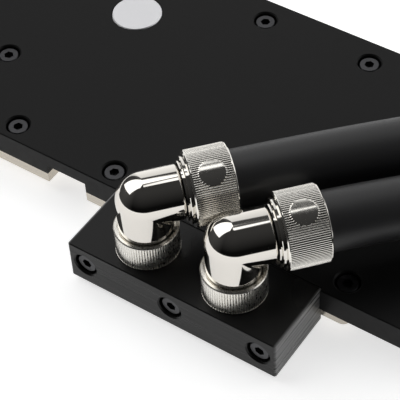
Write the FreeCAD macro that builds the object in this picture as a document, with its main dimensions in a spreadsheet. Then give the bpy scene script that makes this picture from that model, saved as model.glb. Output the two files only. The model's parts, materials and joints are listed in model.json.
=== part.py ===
"""Liquid cooling cold plate with a side terminal, two swivel elbows and two hoses.

Millimetres, +Z up. The origin is the centre of the face that touches the chip, +X runs along
the plate to its short end and the terminal stands on the -Y side.
"""
import FreeCAD
import Part
import Sketcher
import math
import os
import re

Vector = FreeCAD.Vector
Rotation = FreeCAD.Rotation
UP = Vector(0, 0, 1)

SIZES = [
    # plates
    ("cover_left", 150.0, "cover, from the chip's centre to its left end"),
    ("cover_right", 78.0, "cover, from the chip's centre to its right end"),
    ("plate_depth", 103.5, "cover and base, front to back"),
    ("front_step", 1.0, "how far the cover's front stands out, right of the terminal"),
    ("cover_thickness", 9.1, "acetal cover"),
    ("cover_corner", 3.0, "rounding of the cover's corners"),
    ("edge_break", 0.3, "chamfer along the cover's and the terminal's top edges"),
    ("base_left", 142.0, "base plate, from the chip's centre to its left end"),
    ("base_right", 47.5, "base plate, from the chip's centre to its right end"),
    ("base_thickness", 3.9, "nickel plated copper base"),
    ("base_corner", 2.5, "rounding of the base plate's corners"),
    ("pedestal_size", 44.0, "raised square that touches the chip"),
    ("pedestal_height", 2.0, "its height below the base plate"),
    ("pad_height", 0.8, "raised strips over the memory and the regulators"),
    ("pad_width", 13.0, "width of the memory strips"),
    ("pad_gap", 5.0, "gap from the pedestal to the memory strips"),
    ("regulator_near", 86.0, "near edge of the regulator strip"),
    ("regulator_width", 14.0, "width of the regulator strip"),
    ("regulator_front", 34.0, "its front end, from the chip's centre"),
    ("regulator_back", 38.0, "its rear end, from the chip's centre"),
    # relief in the front edge
    ("relief_start", 67.9, "left end of the relief, from the chip's centre"),
    ("relief_width", 15.9, "its width"),
    ("relief_depth", 8.0, "how far it reaches in"),
    ("relief_roof", 5.1, "cover left above it"),
    # flange on the cover's underside, which takes the terminal's screws
    ("flange_length", 73.0, "length along the front edge"),
    ("flange_wall", 0.5, "flange left behind the terminal's screws"),
    ("plate_gap", 0.1, "clearance between the flange and the base plate"),
    # coolant way
    ("fin_length", 38.0, "fins, left to right"),
    ("fin_field", 36.0, "fins, front to back"),
    ("fin_thickness", 0.6, "one fin"),
    ("fin_count", 24, "fins"),
    ("fin_height", 2.8, "height of the fins"),
    ("jet_thickness", 0.6, "jet plate"),
    ("jet_slot_width", 2.4, "slot of the jet plate"),
    ("jet_slot_length", 28.0, "slot of the jet plate"),
    ("jet_clearance", 0.1, "jet plate in its seat, all round"),
    ("plenum_width", 6.0, "open ends of the pool beside the fins"),
    ("inlet_width", 10.0, "chamber above the slot"),
    ("channel_depth", 5.6, "milled channels in the cover"),
    ("channel_width", 10.0, "channel to the regulators"),
    ("wall", 4.0, "walls between channels"),
    # cover gasket
    ("gasket_margin", 2.0, "base left between the gasket and the screws or the flange"),
    ("gasket_lip", 1.0, "cover left between the gasket and the front channels"),
    ("gasket_width", 1.6, "gasket groove"),
    ("gasket_depth", 1.3, "gasket groove"),
    ("gasket_corner", 6.0, "outer corner of the groove"),
    ("seal_play", 0.05, "clearance of a flat seal in its groove"),
    # cover screws
    ("screw_diameter", 4.0, "cap screw"),
    ("head_diameter", 7.0, "cap screw head"),
    ("head_height", 4.0, "cap screw head"),
    ("socket_width", 3.0, "hexagon socket across flats"),
    ("socket_depth", 2.0, "hexagon socket"),
    ("head_recess", 0.8, "heads below the surface"),
    ("counterbore", 8.2, "counterbore diameter"),
    ("counterbore_edge", 0.45, "chamfer round a counterbore"),
    ("hole_play", 0.3, "screw hole over the screw"),
    ("thread_play", 0.04, "threaded hole over the thread, diameter"),
    ("screw_inset", 6.45, "cover screws from the front edge"),
    ("screw_back_inset", 9.65, "rear row of cover screws, from the rear edge"),
    ("screw_right", 43.6, "right end of that row, from the chip's centre"),
    ("screw_pitch", 42.4, "pitch of that row"),
    ("screw_middle", 109.2, "pair of cover screws past the regulators"),
    ("screw_half", 19.2, "half of that pair's spacing"),
    ("front_right", 44.0, "front row of cover screws, right of the chip's centre"),
    ("front_near", 44.2, "front row, first on the left"),
    ("front_far", 84.4, "front row, second on the left"),
    # badge
    ("badge_diameter", 18.0, "badge disc"),
    ("badge_thickness", 1.2, "badge disc"),
    ("badge_proud", 0.2, "badge disc above the cover"),
    ("badge_play", 0.25, "badge seat over the disc, radius"),
    ("badge_left", 82.6, "badge, left of the chip's centre"),
    ("badge_back", 21.5, "badge, behind the chip's centre"),
    # terminal
    ("terminal_length", 77.0, "terminal block, left to right"),
    ("terminal_depth", 26.5, "terminal block, front to back"),
    ("terminal_height", 14.9, "terminal block"),
    ("terminal_edge", 0.8, "rounding of its upright edges"),
    ("terminal_screw_pitch", 32.3, "screws in the terminal's face"),
    ("terminal_screw_drop", 7.2, "their centres below the top"),
    ("terminal_head_recess", 1.0, "their heads below the face"),
    ("terminal_screw_grip", 8.5, "their reach into the cover"),
    ("terminal_screw_room", 1.0, "blind hole past the screw's end"),
    ("port_spacing", 32.26, "between the two ports"),
    ("port_inset", 13.85, "ports, in front of the cover's front face"),
    ("port_depth", 6.8, "threaded depth of a port"),
    ("port_well", 11.4, "depth of the well under it"),
    ("port_well_radius", 5.6, "well under the thread"),
    ("way_half", 2.9, "terminal way, half of its straight length"),
    ("way_radius", 2.6, "terminal way, end radius"),
    ("way_drop", 5.3, "terminal way's centre below the top"),
    ("way_seal_gap", 0.4, "wall between the way and its seal"),
    ("way_seal_width", 1.5, "terminal seal"),
    ("way_seal_depth", 1.1, "terminal seal groove"),
    # pipe thread and swivel
    ("thread_radius", 6.58, "G1/4 thread, outer radius"),
    ("thread_fit", 0.06, "thread in its hole, radius"),
    ("bore_radius", 4.6, "water way through the fittings"),
    ("stub_length", 6.0, "threaded stub of the rotary base"),
    ("collar_radius", 10.3, "rotary base"),
    ("collar_height", 10.0, "rotary base"),
    ("seal_groove_radius", 8.2, "seal groove under the rotary base"),
    ("seal_groove_depth", 1.4, "seal groove under the rotary base"),
    ("socket_radius", 7.3, "socket for the elbow's spigot"),
    ("socket_floor", 2.6, "floor of that socket"),
    ("clip_height", 3.2, "snap ring groove, lower face"),
    ("clip_width", 1.0, "snap ring groove"),
    ("clip_reach", 0.7, "snap ring groove in the base and in the spigot"),
    ("limb_recess", 1.0, "recess round the elbow's foot"),
    ("swivel_play", 0.08, "running clearance of the swivel"),
    ("swivel_groove_height", 5.4, "swivel seal groove, lower face"),
    ("swivel_groove_width", 1.8, "swivel seal groove"),
    ("swivel_groove_radius", 5.9, "floor of the swivel seal groove"),
    ("limb_radius", 8.75, "elbow limbs"),
    ("crotch_radius", 2.0, "rounding of the elbow's inner corner"),
    ("outlet_edge", 0.8, "rounding of the outlet's rim"),
    ("limb_play", 0.4, "gap round the elbow's foot"),
    ("axis_height", 21.7, "outlet axis above the terminal"),
    ("outlet_reach", 11.6, "outlet face from the port's axis"),
    ("outlet_thread", 5.8, "threaded depth of the outlet"),
    ("outlet_azimuth", 48.2, "outlets, in degrees from +X"),
    # hose adapter, measured from the port's axis along the outlet
    ("barb_start", 6.2, "end of its threaded stub"),
    ("face_gap", 0.2, "elbow face to the first ring"),
    ("ring_radius", 9.5, "first ring"),
    ("ring_width", 0.5, "first ring"),
    ("neck_radius", 8.9, "groove behind it"),
    ("neck_width", 0.3, "groove behind it"),
    ("flange_radius", 10.7, "second ring"),
    ("flange_width", 0.8, "second ring"),
    ("barb_seal_depth", 1.0, "seal groove in the first ring"),
    ("undercut_length", 0.6, "neck beside the seal, past the ring's face"),
    ("undercut_depth", 0.45, "neck beside the seal, radius"),
    ("sleeve_radius", 10.5, "threaded sleeve"),
    ("sleeve_wall", 0.85, "threaded sleeve"),
    ("sleeve_length", 4.6, "threaded sleeve"),
    ("pocket_floor", 1.6, "second ring to the hose's end"),
    ("barb_length", 10.8, "barb inside the hose"),
    ("barb_taper", 0.45, "barb's tip, radius"),
    # compression collar
    ("nut_radius", 12.15, "compression collar"),
    ("nut_start", 13.85, "collar, from the port's axis"),
    ("nut_length", 13.65, "compression collar"),
    ("nut_edge", 0.35, "chamfers of the collar"),
    ("nut_thread_depth", 4.6, "wide bore of the collar"),
    ("nut_play", 0.08, "collar on its sleeve and on the hose"),
    ("nut_rim", 0.6, "plain rims beside the flutes"),
    ("nut_pad_radius", 4.2, "smooth round patch among the flutes"),
    ("nut_pad_angle_a", 25.2, "patch of collar a, from straight up towards the terminal's front"),
    ("nut_pad_angle_b", 20.0, "patch of collar b, from straight up towards the terminal's front"),
    ("nut_flutes", 104, "flutes of the compression collar"),
    ("base_flutes", 72, "flutes of the rotary base"),
    ("flute_depth", 0.3, "flutes"),
    ("flute_crest", 0.04, "crests below the rims"),
    ("base_band_low", 0.45, "rotary base, lower end of the flutes"),
    ("base_band_high", 9.6, "rotary base, upper end of the flutes"),
    # hose
    ("hose_radius", 9.5, "hose, outside"),
    ("hose_bore", 6.5, "hose, inside"),
    ("hose_end_gap", 0.05, "hose end to the adapter"),
    # standoffs
    ("standoff_height", 4.4, "standoffs, below the base plate"),
    ("standoff_radius", 2.6, "standoffs"),
    ("standoff_stub", 2.0, "threaded stub in the base plate"),
    ("standoff_stub_radius", 1.5, "threaded stub"),
    ("standoff_bore", 1.25, "M2.5 thread from the tip"),
    ("standoff_bore_depth", 4.0, "M2.5 thread from the tip"),
    ("standoff_pitch", 64.0, "square pattern round the chip"),
    ("standoff_middle", 78.0, "middle pair, left of the chip's centre"),
    ("standoff_end", 136.0, "end pair, left of the chip's centre"),
    ("standoff_inset", 5.75, "outer standoffs from the front and rear edges"),
    ("standoff_relief", 13.75, "middle standoff from the front edge, clear of the relief"),
]

doc = FreeCAD.newDocument("cold_plate")
sheet = doc.addObject("Spreadsheet::Sheet", "Sizes")
for row, (alias, number, note) in enumerate(SIZES, start=1):
    sheet.set("A%d" % row, note)
    sheet.set("B%d" % row, str(number))
    sheet.setAlias("B%d" % row, alias)
doc.recompute()

ALIASES = {alias for alias, number, note in SIZES}


def cells(expression):
    """the expression with each size's name pointed at its cell"""
    return re.sub(r"[a-z_]+", lambda m: "Sizes." + m.group() if m.group() in ALIASES else m.group(),
                  str(expression))


def value(expression):
    """the number that an expression of sizes has now"""
    result = sheet.evalExpression(cells(expression))
    return float(getattr(result, "Value", result))


def bind(obj, prop, expression):
    obj.setExpression(prop, cells(expression))


def place(obj, x="0", y="0", z="0", turn=None):
    """put an object at a point given by expressions, turned by a rotation"""
    obj.Placement = FreeCAD.Placement(Vector(value(x), value(y), value(z)), turn or Rotation())
    bind(obj, "Placement.Base.x", x)
    bind(obj, "Placement.Base.y", y)
    bind(obj, "Placement.Base.z", z)
    return obj


def new_body(name):
    body = doc.addObject("PartDesign::Body", name)
    body.Label = name
    return body


def new_sketch(body, plane, offset="0"):
    """sketch on one of the body's own origin planes, moved along its normal"""
    sketch = body.newObject("Sketcher::SketchObject", body.Name + "_sketch")
    support = [f for f in body.Origin.OriginFeatures if f.Role == plane][0]
    sketch.AttachmentSupport = (support, [""])
    sketch.MapMode = "FlatFace"
    bind(sketch, "AttachmentOffset.Base.z", offset)
    return sketch


def hold_point(sketch, geometry, point, x, y):
    """tie a point of the sketch to a place given by two expressions"""
    for kind, axis, expression in (("DistanceX", -2, x), ("DistanceY", -1, y)):
        if str(expression) == "0":
            sketch.addConstraint(Sketcher.Constraint("PointOnObject", geometry, point, axis))
            continue
        constraint = Sketcher.Constraint(kind, -1, 1, geometry, point, value(expression))
        index = sketch.addConstraint(constraint)
        bind(sketch, "Constraints[%d]" % index, expression)


def polygon(sketch, corners):
    """closed outline of straight lines through corners given by expressions"""
    points = [Vector(value(x), value(y), 0) for x, y in corners]
    count = len(points)
    first = len(sketch.Geometry)
    lines = [Part.LineSegment(points[i], points[(i + 1) % count]) for i in range(count)]
    sketch.addGeometry(lines, False)
    joins = [Sketcher.Constraint("Coincident", first + i, 2, first + (i + 1) % count, 1)
             for i in range(count)]
    sketch.addConstraint(joins)
    for i, (x, y) in enumerate(corners):
        hold_point(sketch, first + i, 1, x, y)


def rectangle(sketch, left, front, right, back):
    polygon(sketch, [(left, front), (right, front), (right, back), (left, back)])


def circle(sketch, x, y, radius):
    index = sketch.addGeometry(Part.Circle(Vector(value(x), value(y), 0), UP, value(radius)), False)
    size = sketch.addConstraint(Sketcher.Constraint("Radius", index, value(radius)))
    bind(sketch, "Constraints[%d]" % size, radius)
    hold_point(sketch, index, 3, x, y)


def slot(sketch, x, y, half, radius):
    """long hole along the sketch's X axis: half of its straight length, and its end radius"""
    cx, cy, a, r = value(x), value(y), value(half), value(radius)
    right, left = Vector(cx + a, cy, 0), Vector(cx - a, cy, 0)
    rise = Vector(0, r, 0)
    first = len(sketch.Geometry)
    quarter = math.pi / 2
    sketch.addGeometry([
        Part.ArcOfCircle(Part.Circle(right, UP, r), -quarter, quarter),
        Part.LineSegment(right + rise, left + rise),
        Part.ArcOfCircle(Part.Circle(left, UP, r), quarter, 3 * quarter),
        Part.LineSegment(left - rise, right - rise)], False)
    for i in range(4):
        sketch.addConstraint(Sketcher.Constraint("Tangent", first + i, 2, first + (i + 1) % 4, 1))
    size = sketch.addConstraint(Sketcher.Constraint("Radius", first, r))
    bind(sketch, "Constraints[%d]" % size, radius)
    hold_point(sketch, first, 3, "%s + %s" % (x, half), y)
    hold_point(sketch, first + 2, 3, "%s - (%s)" % (x, half), y)


def rounded_rectangle(sketch, left, front, right, back, corner):
    """rectangle with equal arcs at its corners, its sides given by expressions"""
    x0, y0, x1, y1, r = (value(e) for e in (left, front, right, back, corner))
    first = len(sketch.Geometry)
    sides = [((x0 + r, y0), (x1 - r, y0)), ((x1, y0 + r), (x1, y1 - r)),
             ((x1 - r, y1), (x0 + r, y1)), ((x0, y1 - r), (x0, y0 + r))]
    centres = [(x1 - r, y0 + r), (x1 - r, y1 - r), (x0 + r, y1 - r), (x0 + r, y0 + r)]
    geometry = []
    for i in range(4):
        start, end = sides[i]
        geometry.append(Part.LineSegment(Vector(*start, 0), Vector(*end, 0)))
        arc_start = math.pi / 2 * (i - 1)
        geometry.append(Part.ArcOfCircle(Part.Circle(Vector(*centres[i], 0), UP, r),
                                         arc_start, arc_start + math.pi / 2))
    sketch.addGeometry(geometry, False)
    for i in range(8):
        sketch.addConstraint(Sketcher.Constraint("Tangent", first + i, 2, first + (i + 1) % 8, 1))
    for i in range(4):
        size = sketch.addConstraint(Sketcher.Constraint("Radius", first + 2 * i + 1, r))
        bind(sketch, "Constraints[%d]" % size, corner)
    for kind, line, expression in (("DistanceY", 0, front), ("DistanceX", 2, right),
                                   ("DistanceY", 4, back), ("DistanceX", 6, left)):
        reach = Sketcher.Constraint(kind, -1, 1, first + line, 1, value(expression))
        bind(sketch, "Constraints[%d]" % sketch.addConstraint(reach), expression)


def extrude(body, kind, sketch, length, reverse=False, grows=None):
    """pad or pocket a sketch, and check that the solid grew or shrank as it should"""
    doc.recompute()
    before = body.Shape.Volume if body.Tip else 0.0
    feature = body.newObject("PartDesign::" + kind, body.Name + "_" + kind.lower())
    feature.Profile = (sketch, [""])
    bind(feature, "Length", length)
    feature.Reversed = reverse
    doc.recompute()
    change = body.Shape.Volume - before
    if (kind == "Pad") != (change > 1e-6):
        raise RuntimeError("%s of %s changes the volume by %.3f" % (kind, body.Name, change))
    return feature


def pad(body, sketch, length, reverse=False):
    return extrude(body, "Pad", sketch, length, reverse)


def pocket(body, sketch, length, reverse=False):
    return extrude(body, "Pocket", sketch, length, reverse)


def dress(body, kind, size, chosen):
    """fillet or chamfer the edges that the chooser takes"""
    base = body.Tip
    names = ["Edge%d" % (i + 1) for i, edge in enumerate(base.Shape.Edges) if chosen(edge)]
    feature = body.newObject("PartDesign::" + kind, body.Name + "_" + kind.lower())
    feature.Base = (base, names)
    bind(feature, "Radius" if kind == "Fillet" else "Size", size)
    doc.recompute()
    return feature


def at_height(z):
    """chooser of the edges that lie in one level plane"""
    return lambda edge: abs(edge.BoundBox.ZMin - z) < 1e-6 and abs(edge.BoundBox.ZMax - z) < 1e-6


def upright_at(points):
    """chooser of the upright edges that stand at the given plan points"""
    def chosen(edge):
        if len(edge.Vertexes) != 2:
            return False
        a, b = (v.Point for v in edge.Vertexes)
        upright = abs(a.x - b.x) < 1e-6 and abs(a.y - b.y) < 1e-6
        return upright and any(math.hypot(a.x - x, a.y - y) < 0.01 for x, y in points)
    return chosen


def turned(name, outline, angle=360.0):
    """solid of revolution about its own Z axis; the outline is radius and height pairs"""
    body = new_body(name)
    sketch = new_sketch(body, "XZ_Plane")
    polygon(sketch, outline)
    return revolve(body, sketch, angle)


def ring(name, mean_radius, section_radius, height):
    """O-ring about its own Z axis"""
    body = new_body(name)
    sketch = new_sketch(body, "XZ_Plane")
    circle(sketch, mean_radius, height, section_radius)
    return revolve(body, sketch, 360.0)


def revolve(body, sketch, angle):
    feature = body.newObject("PartDesign::Revolution", body.Name + "_turn")
    feature.Profile = (sketch, [""])
    feature.ReferenceAxis = (sketch, ["V_Axis"])
    feature.Angle = angle
    doc.recompute()
    return body


def cylinder(name, radius, height, z="0", turn=None, x="0"):
    solid = doc.addObject("Part::Cylinder", name)
    bind(solid, "Radius", radius)
    bind(solid, "Height", height)
    return place(solid, x, "0", z, turn)


def cut(name, base, tool):
    result = doc.addObject("Part::Cut", name)
    result.Base = base
    result.Tool = tool
    result.Label = name
    return result


def fuse(name, solids):
    result = doc.addObject("Part::MultiFuse", name)
    result.Shapes = solids
    result.Label = name
    return result


def round_edges(name, base, sizes):
    """round edges of a fused solid; sizes pairs a radius with a chooser of edges"""
    doc.recompute()
    node = doc.addObject("Part::Fillet", name)
    node.Base = base
    node.Edges = [(i + 1, value(radius), value(radius)) for radius, chosen in sizes
                  for i, edge in enumerate(base.Shape.Edges) if chosen(edge)]
    return node


def group(name, master, places):
    """separate copies of one solid in one node"""
    copies = []
    for placement in places:
        shape = master.Shape.copy()
        shape.Placement = placement.multiply(shape.Placement)
        copies.append(shape)
    node = doc.addObject("Part::Feature", name)
    node.Label = name
    node.Shape = Part.makeCompound(copies)
    node.Placement = FreeCAD.Placement()
    return node


# Heights and lines that several pieces share
BASE_LOW = "pedestal_height"
BASE_TOP = "(pedestal_height + base_thickness)"
TOP = "(pedestal_height + base_thickness + cover_thickness)"
FRONT = "(-plate_depth / 2)"
BACK = "(plate_depth / 2)"
PORT_Y = "(-plate_depth / 2 - port_inset)"
FLANGE = "(terminal_screw_grip + terminal_screw_room + flange_wall)"
PORTS = {"a": "(-port_spacing / 2)", "b": "(port_spacing / 2)"}
WAY_Z = "(pedestal_height + base_thickness + cover_thickness - way_drop)"
POOL_HALF_X = "(fin_length / 2 + plenum_width)"
POOL_HALF_Y = "(fin_field / 2 + 1)"

# Cover screws: x and y from the chip's centre
FRONT_ROW = "(-plate_depth / 2 + screw_inset)"
BACK_ROW = "(plate_depth / 2 - screw_back_inset)"
LAST_SCREW = "screw_right - 4 * screw_pitch"
COVER_SCREWS = [
    ("-front_far", FRONT_ROW), ("-front_near", FRONT_ROW), ("front_right", FRONT_ROW),
    (LAST_SCREW, BACK_ROW), ("screw_right - 3 * screw_pitch", BACK_ROW),
    ("screw_right - 2 * screw_pitch", BACK_ROW), ("screw_right - screw_pitch", BACK_ROW),
    ("screw_right", BACK_ROW), ("-screw_middle", "-screw_half"), ("-screw_middle", "screw_half"),
    ("screw_right", "0"), (LAST_SCREW, FRONT_ROW),
]
TERMINAL_SCREWS = ["-terminal_screw_pitch", "0", "terminal_screw_pitch"]
STANDOFFS = [
    ("-standoff_pitch / 2", "-standoff_pitch / 2"), ("standoff_pitch / 2", "-standoff_pitch / 2"),
    ("standoff_pitch / 2", "standoff_pitch / 2"), ("-standoff_pitch / 2", "standoff_pitch / 2"),
    ("-standoff_middle", "%s + standoff_relief" % FRONT),
    ("-standoff_middle", "%s - standoff_inset" % BACK),
    ("-standoff_end", "%s + standoff_inset" % FRONT), ("-standoff_end", "%s - standoff_inset" % BACK),
]
# Centre line of the cover gasket's four sides, inside the screws and behind the flange
SEAL_STEP = "(gasket_margin + gasket_width / 2)"
SEAL_FRONT = "(%s + %s + plate_gap + %s)" % (FRONT, FLANGE, SEAL_STEP)
SEAL_BACK = "(%s - screw_diameter / 2 - %s)" % (BACK_ROW, SEAL_STEP)
SEAL_LEFT = "(-screw_middle + screw_diameter / 2 + %s)" % SEAL_STEP
SEAL_RIGHT = "(screw_right - screw_diameter / 2 - %s)" % SEAL_STEP
# Front edge of the channels
CHANNEL_FRONT = "(%s + gasket_width / 2 + gasket_lip)" % SEAL_FRONT


def make_base_plate():
    body = new_body("base_plate")
    sketch = new_sketch(body, "XY_Plane", BASE_LOW)
    inner = "%s + %s + plate_gap" % (FRONT, FLANGE)
    half = "(flange_length / 2 + plate_gap)"
    relief_end = "-relief_start + relief_width"
    polygon(sketch, [
        ("-base_left", FRONT), ("-relief_start", FRONT),
        ("-relief_start", "%s + relief_depth" % FRONT), (relief_end, "%s + relief_depth" % FRONT),
        (relief_end, FRONT), ("-%s" % half, FRONT), ("-%s" % half, inner), (half, inner),
        (half, FRONT), ("base_right", FRONT), ("base_right", BACK), ("-base_left", BACK)])
    pad(body, sketch, "base_thickness")
    left, right = value("-base_left"), value("base_right")
    front, back = value(FRONT), value(BACK)
    dress(body, "Fillet", "base_corner",
          upright_at([(left, front), (right, front), (right, back), (left, back)]))
    # raised faces on the underside: chip, memory on three sides, regulators
    sketch = new_sketch(body, "XY_Plane", BASE_LOW)
    rectangle(sketch, "-pedestal_size / 2", "-pedestal_size / 2", "pedestal_size / 2", "pedestal_size / 2")
    pad(body, sketch, "pedestal_height", reverse=True)
    sketch = new_sketch(body, "XY_Plane", BASE_LOW)
    near = "(pedestal_size / 2 + pad_gap)"
    far = "(pedestal_size / 2 + pad_gap + pad_width)"
    rectangle(sketch, "-%s" % far, "-pedestal_size / 2", "-%s" % near, "pedestal_size / 2")
    rectangle(sketch, near, "-pedestal_size / 2", far, "pedestal_size / 2")
    rectangle(sketch, "-pedestal_size / 2", near, "pedestal_size / 2", far)
    rectangle(sketch, "-regulator_near - regulator_width", "-regulator_front",
              "-regulator_near", "regulator_back")
    pad(body, sketch, "pad_height", reverse=True)
    # pool with its fins
    sketch = new_sketch(body, "XY_Plane", BASE_TOP)
    rectangle(sketch, "-%s" % POOL_HALF_X, "-%s" % POOL_HALF_Y, POOL_HALF_X, POOL_HALF_Y)
    pocket(body, sketch, "fin_height + jet_thickness")
    sketch = new_sketch(body, "XY_Plane", "%s - fin_height - jet_thickness" % BASE_TOP)
    rectangle(sketch, "-fin_length / 2", "-fin_field / 2",
              "fin_length / 2", "-fin_field / 2 + fin_thickness")
    fin = pad(body, sketch, "fin_height")
    row = body.newObject("PartDesign::LinearPattern", "fins")
    row.Originals = [fin]
    row.Direction = (sketch, ["V_Axis"])
    bind(row, "Length", "fin_field - fin_thickness")
    bind(row, "Occurrences", "fin_count")
    body.Tip = row
    doc.recompute()
    # gasket groove
    sketch = new_sketch(body, "XY_Plane", BASE_TOP)
    gasket_outline(sketch, "0")
    pocket(body, sketch, "gasket_depth")
    # threaded holes: cover screws from above, standoffs from below
    sketch = new_sketch(body, "XY_Plane", BASE_TOP)
    for x, y in COVER_SCREWS:
        circle(sketch, x, y, "(screw_diameter + thread_play) / 2")
    pocket(body, sketch, "base_thickness + 1")
    sketch = new_sketch(body, "XY_Plane", BASE_LOW)
    for x, y in STANDOFFS:
        circle(sketch, x, y, "standoff_stub_radius + thread_play / 2")
    pocket(body, sketch, "standoff_stub + thread_play", reverse=True)
    return body


def gasket_outline(sketch, inset):
    """two rounded loops, the edges of the gasket groove moved in by an inset"""
    half = "(gasket_width / 2 - %s)" % inset
    rounded_rectangle(sketch, "%s - %s" % (SEAL_LEFT, half), "%s - %s" % (SEAL_FRONT, half),
                      "%s + %s" % (SEAL_RIGHT, half), "%s + %s" % (SEAL_BACK, half),
                      "gasket_corner - %s" % inset)
    rounded_rectangle(sketch, "%s + %s" % (SEAL_LEFT, half), "%s + %s" % (SEAL_FRONT, half),
                      "%s - %s" % (SEAL_RIGHT, half), "%s - %s" % (SEAL_BACK, half),
                      "gasket_corner - gasket_width + %s" % inset)


def make_cover_gasket():
    body = new_body("cover_gasket")
    sketch = new_sketch(body, "XY_Plane", "%s - gasket_depth" % BASE_TOP)
    gasket_outline(sketch, "seal_play")
    pad(body, sketch, "gasket_depth")
    return body


def make_jet_plate():
    """thin plate on the fins, with one long slot and its ends held by the cover"""
    body = new_body("jet_plate")
    sketch = new_sketch(body, "XY_Plane", "%s - jet_thickness" % BASE_TOP)
    rectangle(sketch, "-fin_length / 2", "-%s + jet_clearance" % POOL_HALF_Y,
              "fin_length / 2", "%s - jet_clearance" % POOL_HALF_Y)
    rectangle(sketch, "-jet_slot_width / 2", "-jet_slot_length / 2",
              "jet_slot_width / 2", "jet_slot_length / 2")
    pad(body, sketch, "jet_thickness")
    return body


def make_cover_plate():
    body = new_body("cover_plate")
    sketch = new_sketch(body, "XY_Plane", BASE_TOP)
    step_x = "terminal_length / 2"
    step_y = "%s - front_step" % FRONT
    polygon(sketch, [
        ("-cover_left", FRONT), (step_x, FRONT), (step_x, step_y), ("cover_right", step_y),
        ("cover_right", BACK), ("-cover_left", BACK)])
    pad(body, sketch, "cover_thickness")
    left, right = value("-cover_left"), value("cover_right")
    back = value(BACK)
    dress(body, "Fillet", "cover_corner",
          upright_at([(left, value(FRONT)), (right, value(step_y)), (right, back), (left, back)]))
    dress(body, "Chamfer", "edge_break", at_height(value(TOP)))
    # flange down the front edge behind the terminal
    sketch = new_sketch(body, "XY_Plane", BASE_TOP)
    rectangle(sketch, "-flange_length / 2", FRONT, "flange_length / 2", "%s + %s" % (FRONT, FLANGE))
    pad(body, sketch, "base_thickness", reverse=True)
    # relief in the front edge
    sketch = new_sketch(body, "XY_Plane", BASE_TOP)
    rectangle(sketch, "-relief_start", "%s - 1" % FRONT, "-relief_start + relief_width",
              "%s + relief_depth" % FRONT)
    pocket(body, sketch, "cover_thickness - relief_roof", reverse=True)
    # channels open to the underside
    sketch = new_sketch(body, "XY_Plane", BASE_TOP)
    channel_in(sketch)
    channel_out(sketch)
    pocket(body, sketch, "channel_depth", reverse=True)
    # ways from the front face
    sketch = new_sketch(body, "XZ_Plane", "plate_depth / 2")
    for x in PORTS.values():
        slot(sketch, x, WAY_Z, "way_half", "way_radius")
    pocket(body, sketch, "plate_depth / 2 + %s + channel_width / 2" % CHANNEL_FRONT)
    # threads for the terminal's screws
    sketch = new_sketch(body, "XZ_Plane", "plate_depth / 2")
    for x in TERMINAL_SCREWS:
        circle(sketch, x, "%s - terminal_screw_drop" % TOP, "(screw_diameter + thread_play) / 2")
    pocket(body, sketch, "terminal_screw_grip + terminal_screw_room")
    # cover screw holes, counterbores and badge seat
    sketch = new_sketch(body, "XY_Plane", TOP)
    for x, y in COVER_SCREWS:
        circle(sketch, x, y, "(screw_diameter + hole_play) / 2")
    pocket(body, sketch, "cover_thickness + 1")
    sketch = new_sketch(body, "XY_Plane", TOP)
    for x, y in COVER_SCREWS:
        circle(sketch, x, y, "counterbore / 2")
    pocket(body, sketch, "head_height + head_recess")
    top = value(TOP)
    rim = value("counterbore / 2")
    dress(body, "Chamfer", "counterbore_edge",
          lambda edge: is_rim(edge, rim) and abs(edge.CenterOfMass.z - top) < 1e-6)
    sketch = new_sketch(body, "XY_Plane", TOP)
    circle(sketch, "-badge_left", "badge_back", "badge_diameter / 2 + badge_play")
    pocket(body, sketch, "badge_thickness - badge_proud")
    return body


def is_rim(edge, radius):
    """whether an edge is a full circle of this radius"""
    curve = edge.Curve
    return isinstance(curve, Part.Circle) and abs(curve.Radius - radius) < 1e-6


def channel_in(sketch):
    """from the right way to the chamber over the jet plate's slot"""
    port = PORTS["b"]
    side = "(way_half + way_radius)"
    half = "(inlet_width / 2)"
    shoulder = "(-%s)" % POOL_HALF_Y
    polygon(sketch, [
        ("%s - %s" % (port, side), CHANNEL_FRONT), ("%s + %s" % (port, side), CHANNEL_FRONT),
        ("%s + %s" % (port, side), "%s - wall - channel_width / 2" % shoulder),
        (half, "%s - wall / 2" % shoulder), (half, "jet_slot_length / 2 + 1"),
        ("-%s" % half, "jet_slot_length / 2 + 1"), ("-%s" % half, "%s - channel_width" % shoulder),
        ("%s - %s" % (port, side), "%s + wall" % CHANNEL_FRONT)])


def channel_out(sketch):
    """from both ends of the fins, round over the regulators and back to the left way"""
    port = PORTS["a"]
    side = "(way_half + way_radius)"
    outer = POOL_HALF_X
    inner = "(fin_length / 2)"
    left = "(%s + gasket_width / 2 + wall)" % SEAL_LEFT
    back_in = "(%s + wall / 2)" % POOL_HALF_Y
    back_out = "(%s - gasket_width / 2 - wall)" % SEAL_BACK
    front_in = "(%s + channel_width)" % CHANNEL_FRONT
    ends = "(fin_field / 2)"
    polygon(sketch, [
        (outer, "-%s" % ends), (outer, back_out), (left, back_out),
        (left, CHANNEL_FRONT), ("%s + %s" % (port, side), CHANNEL_FRONT),
        ("%s + %s" % (port, side), front_in), ("%s + channel_width" % left, front_in),
        ("%s + channel_width" % left, back_in), ("-%s" % outer, back_in),
        ("-%s" % outer, "-%s" % ends), ("-%s" % inner, "-%s" % ends), ("-%s" % inner, back_in),
        (inner, back_in), (inner, "-%s" % ends)])


def make_badge():
    body = turned("badge_disc", [
        ("0", "0"), ("badge_diameter / 2", "0"),
        ("badge_diameter / 2", "badge_thickness - 0.3"),
        ("badge_diameter / 2 - 0.3", "badge_thickness"), ("0", "badge_thickness")])
    return place(body, "-badge_left", "badge_back", "%s + badge_proud - badge_thickness" % TOP)


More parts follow.
